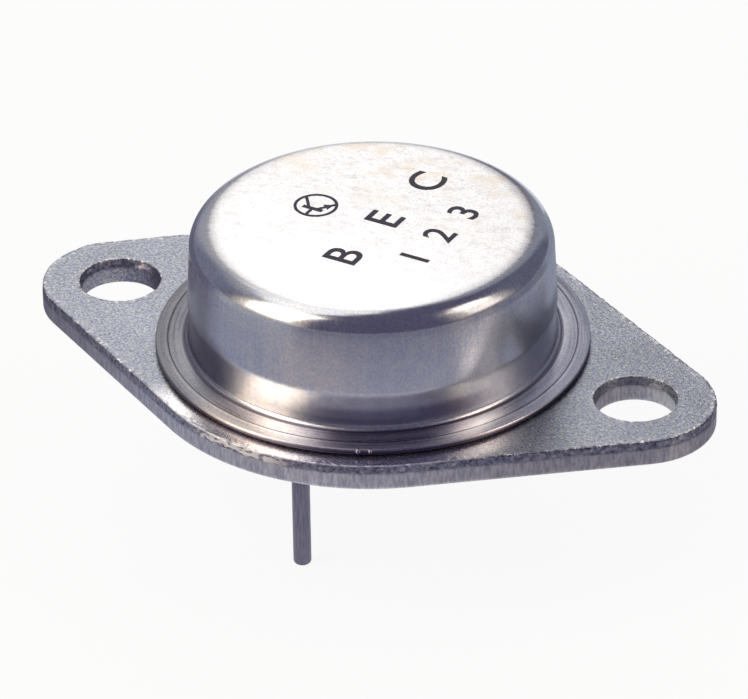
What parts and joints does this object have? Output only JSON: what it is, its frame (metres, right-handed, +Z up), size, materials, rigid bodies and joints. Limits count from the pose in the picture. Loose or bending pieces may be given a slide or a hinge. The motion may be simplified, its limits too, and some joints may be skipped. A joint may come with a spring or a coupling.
{
  "type": "power transistor",
  "caption": "Metal-can power transistor: a round drawn cap welded to a flat flange that has a screw hole at each end, with straight leads below.",
  "frame": {"origin": "centre of the seating face, under the header plate, midway between the screw holes", "axes": "+X along the line of the screw holes, away from the leads' side; +Z up through the can, away from the heat sink; the leads point along -Z, with the emitter's on the -Y side"},
  "size_m": [0.0386, 0.0252, 0.0186],
  "materials": {
    "header_nickel": "satin nickel plate on stamped steel",
    "can_nickel": "satin nickel plate on drawn steel",
    "lead_nickel": "drawn nickel-iron wire, plated",
    "seal_glass": "dark sealing glass",
    "braze": "braze alloy",
    "copper": "bare copper",
    "solder": "dull soft solder",
    "silicon": "polished silicon",
    "wire_aluminium": "bright drawn wire",
    "silicone": "clear soft silicone"
  },
  "bodies": {
    "root": {"header_plate": "header_nickel", "can": "can_nickel", "emitter_lead": "lead_nickel", "base_lead": "lead_nickel", "emitter_seal": "seal_glass", "base_seal": "seal_glass", "braze_preform": "braze", "heat_spreader": "copper", "solder_preform": "solder", "die": "silicon", "emitter_wire_a": "wire_aluminium", "emitter_wire_b": "wire_aluminium", "base_wire": "wire_aluminium", "junction_coat": "silicone"}
  },
  "joints": []
}
